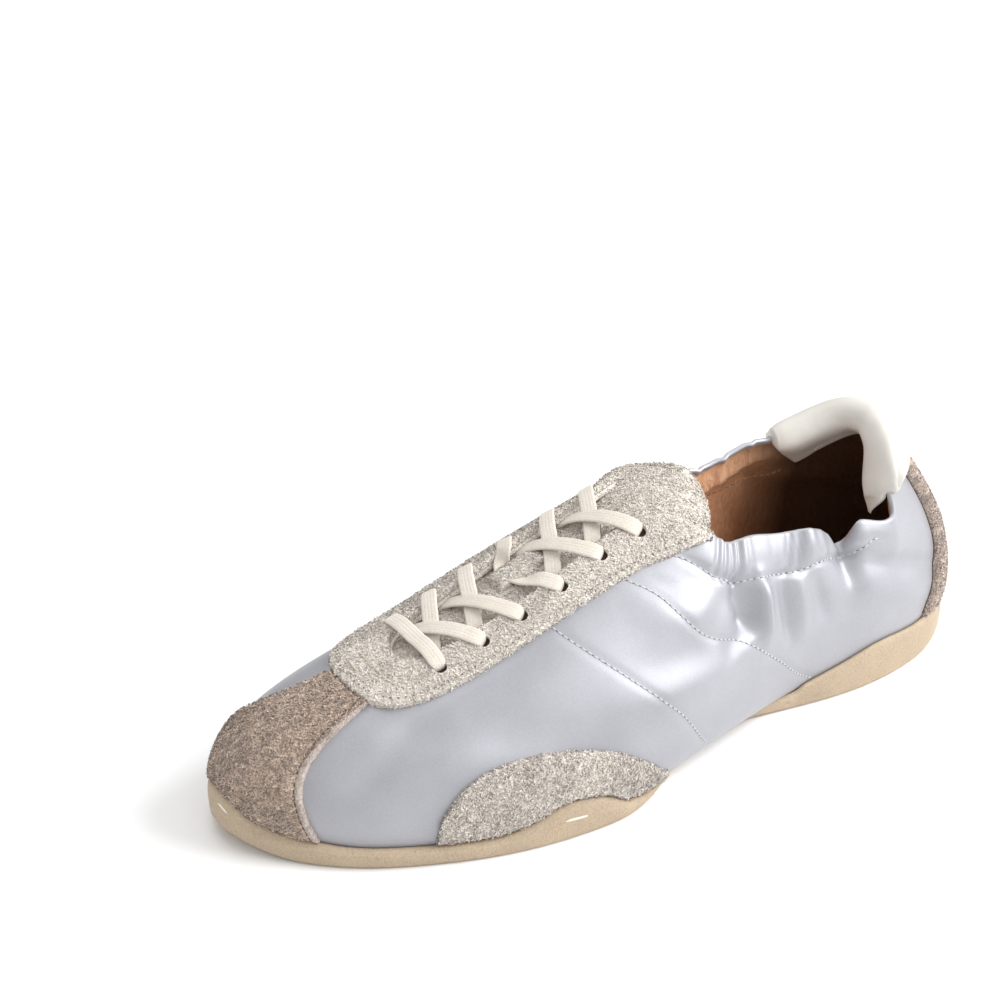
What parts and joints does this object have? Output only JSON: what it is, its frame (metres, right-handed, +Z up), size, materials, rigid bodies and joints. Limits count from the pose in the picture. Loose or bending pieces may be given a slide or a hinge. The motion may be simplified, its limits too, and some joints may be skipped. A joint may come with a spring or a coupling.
{
  "type": "ballet sneaker",
  "caption": "Low left ballet sneaker with a gathered satin upper, suede overlays, flat laces, a padded heel tab and a thin gum sole with a raised arch.",
  "frame": {"origin": "middle of the shoe's bounding box, on the floor it stands on", "axes": "+X towards the back of the heel, +Y towards the inner side of the foot, +Z up"},
  "size_m": [0.2563, 0.0847, 0.0823],
  "materials": {
    "gum_rubber": "matte",
    "tan_leather": "satin",
    "satin": "satin",
    "cream_suede": "napped",
    "taupe_suede": "napped",
    "grey_suede": "napped",
    "cream_leather": "satin",
    "cotton": "matte"
  },
  "bodies": {
    "root": {"outsole": "gum_rubber", "insole": "tan_leather", "upper": "satin", "tongue": "cream_suede", "eyestay": "cream_suede", "toe_cap": "taupe_suede", "side_patch": "grey_suede", "heel_strip": "taupe_suede", "heel_tab": "cream_leather", "lace_bar": "cotton", "lace_cross_1": "cotton", "lace_cross_2": "cotton", "lace_cross_3": "cotton", "lace_cross_4": "cotton", "lace_cross_5": "cotton"}
  },
  "joints": []
}
